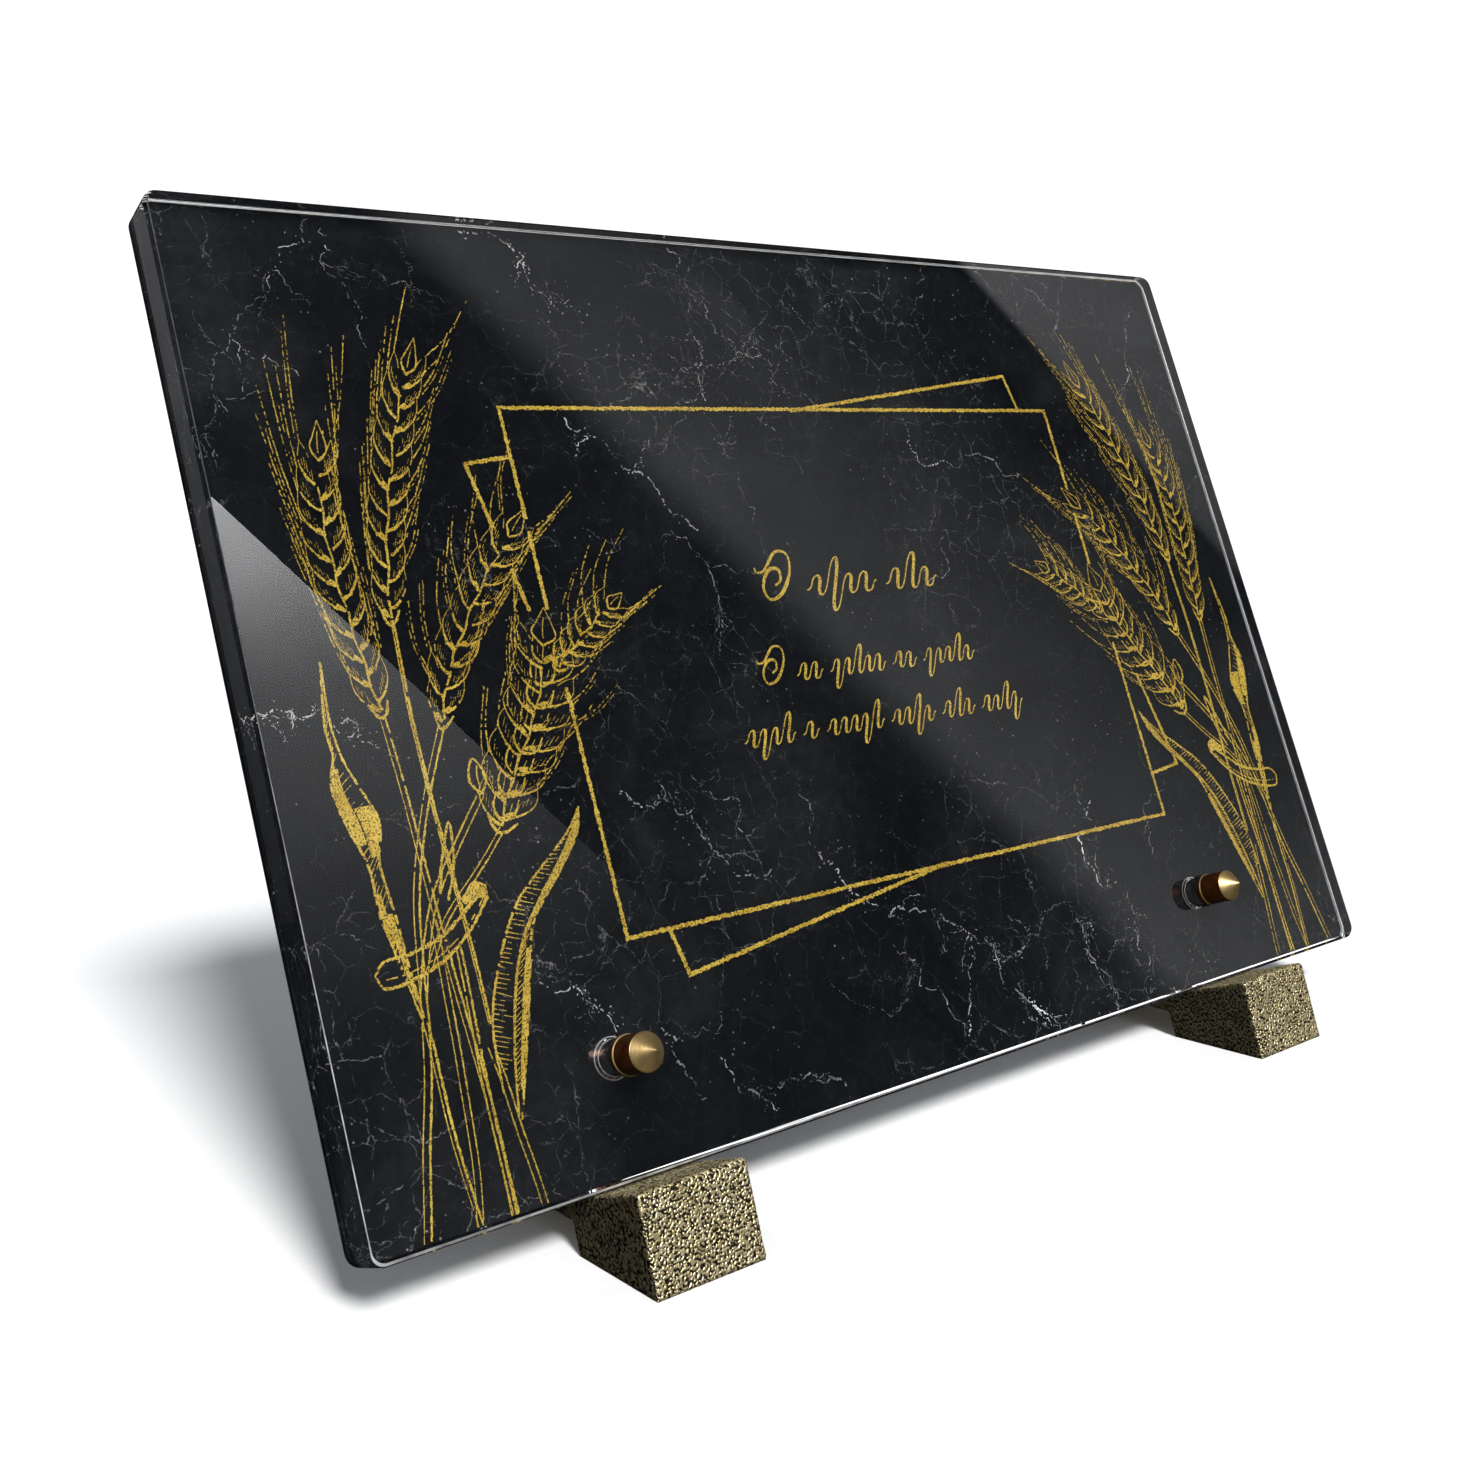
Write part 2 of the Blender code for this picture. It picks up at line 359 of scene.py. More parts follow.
class Ink:
    """Strokes of the print, gathered into one flat mesh at one depth in the clear plate."""

    def __init__(self, seed, depth=GOLD_DEPTH, grit=GRIT, mirrored=False):
        self.shape = bmesh.new()
        self.chance = random.Random(seed)
        self.depth = depth
        self.grit = grit
        self.mirrored = mirrored
        self.weight = 1.0

    def across(self, point):
        return 2 * ART_CENTRE[0] - point[0] if self.mirrored else point[0]

    def vertex(self, point):
        return self.shape.verts.new((self.across(point) * MM, self.depth, point[1] * MM))

    def off_sheet(self, point):
        return abs(self.across(point)) > PRINT_REACH or not PRINT_LOW < point[1] < PRINT_HIGH

    def stroke(self, path, widths, broken=0.0, hidden=None, step=STROKE_STEP, beads=None):
        """A ragged line whose widths are spread evenly along it.

        Broken is the share of it that is left out, and beads gives it a roughness of its own.
        """
        path = evenly(path, step)
        _, normals = headings(path)
        shares = np.linspace(0.0, 1.0, len(path))
        widths = self.weight * np.interp(shares, np.linspace(0.0, 1.0, len(widths)), widths)
        previous = None
        for point, normal, width in zip(path, normals, widths):
            if self.chance.random() < broken or self.off_sheet(point) or (hidden and hidden(point)):
                previous = None
                continue
            rough = (beads or self.grit) * min(1.0, width)
            left = width / 2 + self.chance.uniform(-rough, rough)
            right = width / 2 + self.chance.uniform(-rough, rough)
            pair = (self.vertex(point + normal * left), self.vertex(point - normal * right))
            if previous:
                self.shape.faces.new((previous[0], previous[1], pair[1], pair[0]))
            previous = pair

    def curve(self, points, widths, **settings):
        """A stroke along a curve through the points."""
        self.stroke(smooth(points), widths, **settings)

    def patch(self, left, right):
        """A solid area between two paths that run the same way."""
        count = max(len(left), len(right))
        rows = []
        for share in np.linspace(0.0, 1.0, count):
            ends = []
            for side in (left, right):
                place = share * (len(side) - 1)
                low = int(place)
                high = min(low + 1, len(side) - 1)
                ends.append(side[low] + (side[high] - side[low]) * (place - low))
            rows.append([self.vertex(point) for point in ends])
        for first, second in zip(rows, rows[1:]):
            self.shape.faces.new((first[0], first[1], second[1], second[0]))

    def finish(self, name, material, slot="gold_print"):
        drop_loose(self.shape)
        flat = [face for face in self.shape.faces if face.calc_area() < SMALLEST_FACE]
        bmesh.ops.delete(self.shape, geom=flat, context="FACES")
        for face in self.shape.faces:
            face.normal_update()
            if face.normal.y > 0:
                face.normal_flip()
        made = as_object(name, self.shape, material)
        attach(made, "root")


class Ear:
    """A bearded ear of wheat, drawn along its axis from its foot to its tip."""

    def __init__(self, axis, half_width, rows, beard, spreads, cups=False):
        self.path = smooth(axis)
        self.half_width = half_width
        self.rows = rows
        self.beard = beard
        self.spreads = spreads
        self.cups = cups
        length = float(np.linalg.norm(np.diff(self.path, axis=0), axis=1).sum())
        self.row_length = length / (rows + 1)

    def at(self, share):
        """The point, direction and left normal at a share of the axis."""
        along, normals = headings(self.path)
        index = int(min(share, 1.0) * (len(self.path) - 1))
        return self.path[index], along[index], normals[index]

    def reach(self, share):
        """Half the ear's width, fuller in its lower half and narrow at both ends."""
        return self.half_width * (0.60 + 0.40 * math.sin(math.pi * min(1.0, 0.20 + 0.66 * share)))

    def covers(self, point):
        distances = np.linalg.norm(self.path - point, axis=1)
        nearest = int(distances.argmin())
        return distances[nearest] < self.reach(nearest / len(self.path)) * 0.85

    def local(self, share, side):
        """A function that turns (out, up) steps from a joint, in half widths and row lengths, into places."""
        base, along, normal = self.at(share)
        out = normal * side * self.reach(share)
        up = along * self.row_length
        return lambda spots: [base + out * spot[0] + up * spot[1] for spot in spots]

    def grain(self, ink, share, side):
        """One husk: a thick outer side, a fine one near its tip, a filled foot, hatching and a bristle."""
        place = self.local(share, side)
        outer = smooth(place([(0.0, 0.0), (0.42, 0.20), (0.86, 0.70), (1.0, 1.20), (0.90, 1.85)]))
        ink.stroke(outer, (0.92, 0.64, 0.36, 0.22, 0.15), broken=0.03)
        ink.curve(place([(0.90, 1.85), (0.66, 1.58), (0.46, 1.20)]), (0.15, 0.20, 0.26), broken=0.08)
        if ink.chance.random() < 0.6:
            inner = smooth(place([(0.0, 0.0), (0.12, 0.22), (0.30, 0.36)]))
            ink.patch(outer[: max(3, len(outer) // 4)], inner)
        for line in range(5):
            low = 0.30 + 0.12 * line
            start = 0.26 + 0.14 * line
            hatch = place([(low, start), (low + 0.06, start + ink.chance.uniform(0.2, 0.5))])
            ink.stroke(np.array(hatch), (0.15, 0.10), broken=0.10, step=0.3)
        self.bristle(ink, outer[-1], share, side)

    def bristle(self, ink, tip, share, side):
        """A long thin dotted line from a husk's tip that leans outwards and bends back a little."""
        _, along, normal = self.at(share)
        out = normal * side
        spread = self.spreads[0] if side > 0 else self.spreads[1]
        length = self.beard * ink.chance.uniform(0.75, 1.15)
        lean = spread * ink.chance.uniform(0.6, 1.3)
        middle = tip + (along + out * lean * 1.15) * length * 0.42
        far = tip + (along + out * lean * 0.80) * length
        path = smooth([tip, middle, far], 0.4)
        ink.stroke(path, (0.29, 0.28, 0.25, 0.20), broken=0.15, step=0.34, beads=0.50)
        if ink.chance.random() < 0.55:
            twin = path[: int(len(path) * ink.chance.uniform(0.6, 0.95))] + out * 0.75
            ink.stroke(twin, (0.24, 0.18), broken=0.20, step=0.34, beads=0.50)

    def cup(self, ink, share):
        """A rounded husk seen from in front, on an ear turned to the viewer."""
        place = self.local(share, 1)
        bowl = place([(0.40, 0.95), (0.36, 0.25), (0.0, -0.12), (-0.36, 0.25), (-0.40, 0.95)])
        ink.curve(bowl, (0.35, 0.6, 0.85, 0.6, 0.35), broken=0.03)
        for line in (-0.18, 0.0, 0.18):
            ink.stroke(np.array(place([(line, 0.1), (line * 1.2, 0.7)])), (0.3, 0.16), broken=0.15)

    def draw(self, ink):
        joints = []
        steps = self.rows + TIP_ROOM
        for row in range(self.rows):
            share = row / steps
            base, _, normal = self.at(share)
            joints.append(base + normal * (0.35 if row % 2 else -0.35))
            for side, lag in ((1, 0.0), (-1, 0.42)):
                self.grain(ink, (row + lag) / steps, side)
            if self.cups:
                self.cup(ink, (row + 0.4) / steps)
        ink.stroke(np.array(joints), (0.65, 0.55, 0.4), broken=0.02)
        place = self.local(self.rows / steps, 1)
        for out in (0.46, -0.44):
            half = place([(0.0, 0.0), (out, 0.50), (out * 0.62, 1.10), (0.06, 1.75)])
            ink.curve(half, (0.75, 0.45, 0.3, 0.25))
        ink.curve(place([(0.02, 0.35), (0.06, 0.8), (0.05, 1.3)]), (0.3, 0.2))
        foot = self.local(0.0, 1)
        cup = foot([(0.55, 0.35), (0.28, -0.12), (0.0, -0.3), (-0.28, -0.12), (-0.55, 0.35)])
        ink.curve(cup, (0.5, 0.95, 0.5))


def stem(ink, points, gap, first=0.6, second=0.32):
    """A stalk as two ragged lines that run beside each other, of the two widths."""
    path = smooth(points)
    _, normals = headings(path)
    swing = np.sin(np.linspace(0.0, 9.0, len(path)))[:, None] * 0.12
    ink.stroke(path + normals * (gap / 2 + swing), (first, first * 1.2, first * 0.9), STALK_GAPS)
    ink.stroke(path - normals * (gap / 2 - swing), (second, second * 1.2, second * 0.8), STALK_GAPS)


def blade(ink, left, right, solid, hatch):
    """A leaf: two edges, slanting lines between them, and solid stretches.

    Each stretch gives its ends along the leaf, and its two sides as shares of the way from left to right.
    """
    left = smooth(left)
    right = smooth(right)
    for edge in (left, right):
        ink.stroke(edge, (0.45, 0.65, 0.5), broken=0.04)
    count = max(4, int(len(left) * STROKE_STEP / hatch))
    for share in np.linspace(0.06, 0.94, count):
        a = left[int(share * (len(left) - 1))]
        b = right[int(max(0.0, share - 0.05) * (len(right) - 1))]
        ink.stroke(np.array([a, a + (b - a) * ink.chance.uniform(0.35, 0.95)]), (0.28, 0.16), broken=0.05)
    for start, end, near_left, near_right in solid:
        rows = np.linspace(start, end, 14)
        pairs = [(left[int(s * (len(left) - 1))], right[int(s * (len(right) - 1))]) for s in rows]
        ink.patch(
            np.array([a + (b - a) * near_left for a, b in pairs]),
            np.array([a + (b - a) * near_right for a, b in pairs]),
        )


# Each ear of a spray: its axis from foot to tip, half its width, its rows, its bristles' length and how far
# they lean out on either side, and whether it is turned to the viewer
EARS = (
    ([(-123.3, 96.5), (-125.2, 112.0), (-126.4, 126.0), (-126.0, 138.5), (-124.0, 150.0)],
     4.6, 10, 24.0, (0.10, 0.12)),
    ([(-117.0, 114.5), (-114.2, 129.5), (-110.2, 143.5), (-105.6, 156.5), (-100.0, 168.5)],
     4.3, 10, 17.0, (0.05, 0.40)),
    ([(-111.0, 93.0), (-107.8, 101.5), (-101.2, 112.0), (-93.8, 122.0), (-84.5, 132.0)],
     4.6, 9, 15.0, (0.45, 0.30)),
    ([(-103.8, 71.2), (-99.4, 79.2), (-93.6, 87.4), (-88.0, 97.0), (-83.8, 109.0)],
     7.4, 8, 15.0, (0.30, 0.55), True),
    ([(-82.5, 101.5), (-77.2, 105.6), (-71.0, 110.4), (-65.0, 114.2)],
     4.2, 6, 13.0, (0.55, 0.20)),
)

# Each stalk of a spray from its top down: its points, the gap between its two lines, and their widths
STALK_GAPS = 0.008
STALK_FOOT = 0.9
STALKS = (
    ([(-123.3, 96.0), (-122.4, 80.0), (-121.6, 62.0), (-120.6, 44.0), (-119.4, 22.0), (-119.0, STALK_FOOT)],
     1.1),
    ([(-116.8, 114.0), (-117.5, 96.0), (-117.0, 78.0), (-116.2, 60.0), (-115.6, 35.0)], 0.5, 0.75, 0.4),
    ([(-111.4, 92.5), (-118.0, 79.0), (-124.0, 62.0), (-127.0, 47.0), (-128.2, 37.0)], 1.2),
    ([(-106.4, 78.0), (-114.0, 69.0), (-121.5, 58.5), (-127.0, 44.5), (-128.3, 36.5)], 1.3, 0.42, 0.5),
    ([(-103.7, 70.6), (-112.0, 62.4), (-120.0, 55.0), (-125.4, 47.0)], 1.0, 0.45),
    ([(-128.2, 38.0), (-130.9, 25.0), (-134.2, 12.5), (-136.9, STALK_FOOT)], 1.4, 0.62),
    ([(-128.2, 38.0), (-128.0, 26.5), (-127.3, 10.8), (-126.3, STALK_FOOT)], 0.9, 0.7),
    ([(-122.2, 56.0), (-122.8, 43.4), (-123.2, 29.8), (-124.6, 12.3), (-126.4, STALK_FOOT)], 1.3, 0.35, 0.28),
    ([(-118.4, 50.0), (-119.1, 28.0), (-119.4, STALK_FOOT)], 1.0, 0.72, 0.5),
    ([(-116.4, 31.0), (-114.6, 17.5), (-112.8, STALK_FOOT)], 1.3, 0.42, 0.36),
)

# The spray's leaves: a left edge, a right edge, the solid stretches, and the step between slanting lines
LEAF_TIP = (-133.2, 107.1)
FOLD_TIP = (-85.6, 72.4)
LEAF_FOLD = [
    (-86.4, 71.2), (-91.0, 64.6), (-98.6, 56.5), (-104.0, 50.0), (-108.0, 42.0), (-111.6, 30.0),
    (-114.0, 17.5),
]
LEAVES = (
    ([LEAF_TIP, (-135.0, 95.4), (-134.7, 89.0), (-136.3, 83.4), (-134.9, 75.6), (-132.5, 68.0),
      (-132.3, 58.5), (-130.6, 49.6), (-128.7, 39.0)],
     [LEAF_TIP, (-133.8, 95.3), (-132.9, 88.0), (-130.6, 82.0), (-128.5, 75.4), (-130.2, 68.0),
      (-129.3, 57.5), (-129.0, 50.0), (-128.2, 39.0)],
     ((0.30, 0.52, 0.05, 0.40), (0.42, 0.56, 0.45, 0.95), (0.66, 0.80, 0.05, 0.45), (0.72, 0.96, 0.35, 0.85)),
     1.5),
    ([FOLD_TIP, (-89.6, 67.7), (-98.0, 61.2), (-104.6, 55.5), (-110.6, 46.0), (-115.0, 35.0), (-116.0, 22.0)],
     LEAF_FOLD, (), 1.1),
    (LEAF_FOLD,
     [FOLD_TIP, (-87.5, 67.0), (-93.3, 60.4), (-101.4, 52.1), (-104.4, 44.0), (-108.6, 31.0), (-113.5, 16.7)],
     ((0.02, 0.40, 0.15, 1.0), (0.50, 0.92, 0.55, 1.0)), 1.1),
)


def draw_spray(name, material, mirrored):
    """A tied bundle of wheat: ears, stalks, two leaves and the loop that ties them."""
    ink = Ink(11 + mirrored, mirrored=mirrored)
    ink.weight = EAR_WEIGHT
    for ear in EARS:
        Ear(*ear).draw(ink)
    ink.weight = STALK_WEIGHT
    for stalk in STALKS:
        stem(ink, *stalk)
    ink.weight = LEAF_WEIGHT
    bud = [(-106.4, 77.8), (-108.3, 81.0), (-106.6, 85.0), (-104.6, 81.2), (-106.2, 77.8)]
    ink.curve(bud, (0.8, 0.5, 0.7))
    ink.curve([(-106.3, 79.0), (-106.4, 81.5), (-106.0, 83.6)], (0.4, 0.3))
    for leaf in LEAVES:
        blade(ink, *leaf)
    upper = [(-135.8, 48.2), (-133.4, 50.4), (-128.0, 50.8), (-121.0, 52.8), (-115.0, 56.8), (-110.6, 60.0)]
    lower = [(-135.8, 48.2), (-134.2, 45.6), (-129.0, 46.0), (-122.0, 48.2), (-115.4, 52.6), (-110.0, 58.4)]
    ink.curve(upper, (0.5, 0.9, 0.8))
    ink.curve(lower, (0.6, 0.8, 0.7))
    ink.curve([(x + 0.4, y + 1.5) for x, y in lower[1:]], (0.3, 0.3), broken=0.1)
    knot_top = smooth([(-115.6, 58.4), (-112.6, 61.6), (-109.8, 60.6)])
    ink.patch(knot_top, smooth([(-115.0, 57.6), (-112.2, 58.4), (-110.0, 57.8)]))
    spike = [(-119.6, 60.6), (-117.6, 67.0), (-114.6, 73.6), (-115.4, 66.0), (-118.2, 59.0)]
    ink.curve(spike, (0.8, 0.6, 0.7))
    ink.finish(name, material)


def frame_corners(turn, lean):
    """A frame's corners, its long sides turned up to the right and its short sides leaning to the left."""
    across = np.array([math.cos(turn), math.sin(turn)]) * FRAME_SIZE[0] / 2
    up = np.array([-math.sin(lean), math.cos(lean)]) * FRAME_SIZE[1] / 2
    centre = np.array(FRAME_CENTRE)
    return [centre - across + up, centre + across + up, centre + across - up, centre - across - up]


def draw_frames(material):
    """Two thin frames, the second turned and shown only outside the first, both passing behind the ears."""
    ink = Ink(31)
    ears = [Ear(*ear) for ear in EARS]
    half = np.array(FRAME_SIZE) / 2

    def behind_ears(point):
        mirrored = np.array([2 * ART_CENTRE[0] - point[0], point[1]])
        return any(ear.covers(point) or ear.covers(mirrored) for ear in ears)

    def behind_first(point):
        inside = np.all(np.abs(point - np.array(FRAME_CENTRE)) < half - FRAME_LINE / 2)
        return bool(inside) or behind_ears(point)

    for turn, lean, hidden in ((0.0, 0.0, behind_ears), (FRAME_TURN, FRAME_LEAN, behind_first)):
        corners = frame_corners(turn, lean)
        for start, end in zip(corners, corners[1:] + corners[:1]):
            reach = (end - start) / np.linalg.norm(end - start) * FRAME_LINE / 2
            ink.stroke(np.array([start - reach, end + reach]), (FRAME_LINE, FRAME_LINE), hidden=hidden)
    ink.finish("gold_frames", material)


def script_run(ink, start, baseline, height, half_step, crests, weight):
    """A slanted round wave with a taller crest and a deeper trough: the rhythm of writing and no letters."""
    tall = ink.chance.randrange(crests)
    deep = ink.chance.randrange(crests)
    turns = [height * 0.3]
    for crest in range(crests):
        turns.append(height * (1.75 if crest == tall and crests > 2 else ink.chance.uniform(0.92, 1.04)))
        turns.append(height * (-0.75 if crest == deep and crests > 3 else ink.chance.uniform(-0.02, 0.05)))
    turns.append(height * 0.55)
    points = []
    for index, (low, high) in enumerate(zip(turns, turns[1:])):
        for t in np.linspace(0.0, 1.0, 10, endpoint=False):
            rise = low + (high - low) * (1 - math.cos(math.pi * t)) / 2
            onward = t + 0.85 * math.sin(math.tau * t) / math.tau
            points.append((start + (index + onward) * half_step + SLANT * rise, baseline + rise))
    path = evenly(points, 0.2)
    along, _ = headings(path)
    ink.stroke(path, weight * (0.42 + 0.72 * np.clip(-along[:, 1], 0.0, 1.0)), step=0.2)


def swash(ink, x, baseline, height, weight):
    """A curl that opens a row, drawn from its outer hook inwards."""
    curl = (
        (-0.15, 1.20), (-0.05, 1.02), (0.30, 1.10), (0.80, 1.72), (1.35, 1.62), (1.45, 0.95), (1.05, 0.20),
        (0.50, 0.02), (0.22, 0.48), (0.45, 1.05), (0.90, 1.10), (1.02, 0.72), (0.76, 0.50),
    )
    places = [(x + (across + SLANT * 0.5 * up) * height, baseline + up * height) for across, up in curl]
    ink.stroke(smooth(places, 0.2), weight * np.array((0.5, 0.9, 0.6, 1.15, 0.7, 1.1, 0.6)), step=0.2)


def draw_writing(material):
    """Rows of script-like strokes in the place of the inscription. They are no letters.

    Each row gives its ends, baseline, height and line weight, whether a curl opens it, and its words' crests.
    """
    ink = Ink(47, grit=0.0)
    rows = (
        (-26.0, 33.0, 111.6, 5.2, 0.86, True, (4, 3)),
        (-32.0, 38.0, 92.2, 3.9, 0.66, True, (2, 5, 2, 5)),
        (-41.0, 50.0, 78.6, 3.9, 0.66, False, (4, 1, 5, 4, 3, 4)),
    )
    for first, last, baseline, height, weight, opening, words in rows:
        gap = height * 0.12
        start = first
        if opening:
            swash(ink, first, baseline, height * 1.25, weight)
            start += height * 2.7
        turns = sum(2 * crests + 2 for crests in words)
        half_step = (last - start - gap * (len(words) - 1)) / turns
        for crests in words:
            script_run(ink, start, baseline, height, half_step, crests, weight)
            start += (2 * crests + 2) * half_step + gap
    ink.finish("gold_writing", material)


# The marble's white and grey veins, as paths in the same places and unit
VEIN_DEPTH = 0.00782
VEIN_LAYER = 0.00001
FORK_REACH = 148.5
FORK_LOW = 1.5
FORK_HIGH = 198.5
BRIGHT_VEINS = (
    [(-137, 173), (-130, 168), (-124, 164)],
    [(-86, 199), (-76, 198), (-68, 195), (-66, 186), (-62, 182), (-57, 184)],
    [(-33, 176), (-24, 175), (-23, 173), (-27, 167)],
    [(-33, 171), (-30, 167)],
    [(-66, 156), (-57, 150), (-48, 142), (-44, 133), (-38, 129)],
    [(-75, 74), (-71, 70), (-63, 71), (-58, 62), (-54, 57), (-42, 52)],
    [(-28, 53), (-19, 41), (-13, 36), (3, 32), (10, 28), (6, 20), (1, 6)],
    [(19, 13), (24, 7), (30, 1)],
    [(-104, 40), (-95, 35), (-91, 32), (-89, 27)],
    [(-79, 26), (-76, 23), (-75, 15), (-72, 10)],
    [(-66, 16), (-58, 9), (-51, 9), (-41, 7), (-36, 4)],
    [(143, 192), (132, 176), (125, 161)],
    [(35, 156), (35, 147), (38, 143), (62, 145), (73, 140)],
    [(-148, 100), (-146, 98), (-144, 99), (-140, 97), (-136, 99)],
    [(-134, 95), (-130, 96), (-129, 95), (-129, 92)],
    [(63, 52), (57, 32), (60, 30), (64, 31)],
    [(67, 28), (67, 24), (66, 19), (65, 13)],
    [(45, 28), (46, 24), (47, 23), (47, 19), (48, 13), (51, 7), (51, 1)],
    [(35, 28), (32, 24), (29, 24), (27, 22), (23, 21), (19, 20), (16, 18)],
    [(13, 27), (16, 24), (17, 22), (20, 20)],
    [(20, 14), (23, 9), (25, 6), (28, 2)],
)
FAINT_VEINS = (
    [(-115, 199), (-123, 192), (-126, 186), (-132, 179), (-137, 173), (-141, 167), (-143, 157), (-145, 146)],
    [(-113, 197), (-111, 186), (-109, 181), (-109, 171)],
    [(-103, 189), (-101, 185), (-94, 186)],
    [(-26, 199), (-24, 192), (-19, 185), (-13, 172), (-5, 171), (0, 162), (12, 158)],
    [(-41, 188), (-34, 190), (-19, 186)],
    [(-13, 172), (-26, 163), (-37, 154), (-44, 146)],
    [(-64, 125), (-53, 128), (-40, 124), (-38, 120), (-38, 106)],
    [(-38, 121), (-29, 119), (-22, 118)],
    [(-19, 157), (-22, 142), (-20, 134), (-19, 122)],
    [(-13, 157), (-7, 148)],
    [(7, 186), (14, 178), (21, 186)],
    [(-57, 76), (-52, 69), (-47, 61)],
    [(-36, 70), (-27, 65), (-28, 53)],
    [(-14, 30), (-8, 23), (0, 6)],
    [(10, 28), (22, 20), (29, 24), (39, 29), (46, 29), (48, 19), (52, 9), (51, 1)],
    [(60, 48), (58, 36), (62, 30)],
    [(67, 30), (66, 17), (64, 1)],
    [(-76, 23), (-67, 22), (-64, 26)],
    [(-34, 27), (-32, 23), (-20, 15), (-13, 20)],
    [(58, 199), (52, 189), (50, 180)],
    [(66, 186), (83, 193), (78, 199)],
    [(110, 191), (110, 181)],
    [(38, 125), (36, 115), (21, 100)],
    [(136, 140), (148.5, 138), (144, 127)],
    [(-148, 99), (-139, 97), (-132, 98)],
    [(-130, 76), (-123, 73), (-118, 70)],
    [(-110, 67), (-108, 57), (-102, 54)],
    [(89, 66), (93, 51), (80, 35)],
)


def wander(points, chance):
    """A path broken up four times over, each time by pushing its middles aside."""
    points = [np.array(point, float) for point in points]
    for _ in range(4):
        longer = [points[0]]
        for a, b in zip(points, points[1:]):
            across = np.array([a[1] - b[1], b[0] - a[0]])
            longer += [(a + b) / 2 + across * chance.gauss(0.0, 0.16), b]
        points = longer
    return np.array(points)


def draw_vein(ink, points, width, forks):
    """A thin crooked vein with gaps, specks beside it and finer ones that fork off it."""
    chance = ink.chance
    path = wander(points, chance)
    widths = width * np.array([chance.uniform(0.25, 1.3) for _ in range(12)])
    ink.stroke(path, widths, broken=0.22, step=0.3)
    for point, onward in zip(path, path[1:]):
        if chance.random() < 0.22:
            speck = point + np.array([chance.gauss(0.0, 1.1), chance.gauss(0.0, 1.1)])
            size = width * chance.uniform(0.3, 0.9)
            turn = chance.uniform(0.0, math.pi)
            arm = np.array([math.cos(turn), math.sin(turn)]) * size
            ink.stroke(np.array([speck - arm, speck + arm]), (size, size * 0.6), step=0.2)
        if forks and chance.random() < 0.04:
            run = onward - point
            length = chance.uniform(3.0, 11.0)
            turn = math.atan2(run[1], run[0]) + chance.choice((-1, 1)) * chance.uniform(0.3, 1.2)
            ends = [point]
            for _ in range(3):
                turn += chance.gauss(0.0, 0.35)
                ends.append(ends[-1] + np.array([math.cos(turn), math.sin(turn)]) * length / 3)
            if all(abs(end[0]) < FORK_REACH and FORK_LOW < end[1] < FORK_HIGH for end in ends):
                draw_vein(ink, ends, width * 0.6, forks - 1)


def vein_print(name, dark, bright):
    shader = Shader(name)
    clumps = shader.noise(70.0, 5.0, 0.7)
    return shader.matt(shader.ramp(clumps, (0.36, dark), (0.52, bright * 0.35), (0.66, bright)))


def build_veins():
    """The white veins, and the grey ones a hair behind them."""
    for name, veins, ink, width, forks, painted_light_tones in (
        ("white", BRIGHT_VEINS, Ink(61, VEIN_DEPTH, 0.45), 0.30, 1, (0.03, 0.85)),
        ("grey", FAINT_VEINS, Ink(67, VEIN_DEPTH + VEIN_LAYER, 0.40), 0.20, 2, (0.012, 0.42)),
    ):
        for points in veins:
            draw_vein(ink, points, width, forks)
        ink.finish(f"marble_{name}_veins", vein_print(f"{name}_vein", *painted_light_tones), "marble_print")


def gold_print():
    """Printed gold with fine dark pits and a slight change of tone."""
    shader = Shader("gold_print")
    tone = shader.noise(160.0, 3.0, 0.6)
    gold = shader.ramp(tone, (0.3, (0.44, 0.29, 0.035)), (0.7, (0.64, 0.46, 0.085)))
    pits = shader.ramp(shader.noise(2600.0, 2.0, 0.7), (0.39, 0.0), (0.49, 1.0))
    return shader.matt(shader.mix(pits, (0.06, 0.035, 0.006), gold))


def build_artwork():
    material = gold_print()
    draw_spray("left_wheat", material, False)
    draw_spray("right_wheat", material, True)
    draw_frames(material)
    draw_writing(material)


def set_material(node, material):
    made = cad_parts[node]
    made.data.materials.clear()
    made.data.materials.append(material)


def rim_material():
    """A painted highlight for the light line on the chamfer: satin silver, much duller towards the top."""
    shader = Shader("silver_edge")
    streaks = shader.noise(240.0, 3.0, 0.6)
    tone = shader.ramp(streaks, (0.35, 0.20), (0.60, 0.48))
    # Painted dimming of the highlight towards the top
    height = shader.add("SeparateXYZ", {"Vector": shader.place()}, 2)
    painted_dimming = shader.ramp(height, (0.045, 1.0), (0.12, 0.16))
    shader.principled(Base_Color=shader.times(tone, painted_dimming), Roughness=0.5, Specular_IOR_Level=0.3)
    return shader.material


# A matt mottled colour for the painted light lines along the print's top and right edges and round the holes
def back_rim_material(name, dark, bright):
    shader = Shader(name)
    return shader.matt(shader.ramp(shader.noise(90.0, 2.0, 0.6), (0.35, dark), (0.62, bright)))


def build_rim(name, material, section, wanted):
    """A thin strip along part of the plate's outline.

    For an outward direction and a place across, the section gives the strip's two (inset, depth) edges.
    """
    shape = bmesh.new()
    rings = []
    for index, (middle, _) in enumerate(outline(0.0, RIM_STEPS)):
        quarter, step = divmod(index, RIM_STEPS + 1)
        angle = math.pi / 2 * (quarter + step / RIM_STEPS)
        up = math.sin(angle)
        pair = []
        for inset, depth in section(up, 0.5 + middle / PLAQUE_WIDTH):
            x, z = outline(inset, RIM_STEPS)[index]
            pair.append(shape.verts.new((x, depth, z)))
        rings.append((pair, wanted(math.cos(angle), up)))
    for (first, first_wanted), (second, second_wanted) in zip(rings, rings[1:] + rings[:1]):
        if first_wanted and second_wanted:
            shape.faces.new((first[0], first[1], second[1], second[0]))
    drop_loose(shape)
    rim = as_object(name, shape, material)
    rim.data.shade_smooth()
    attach(rim, "root")


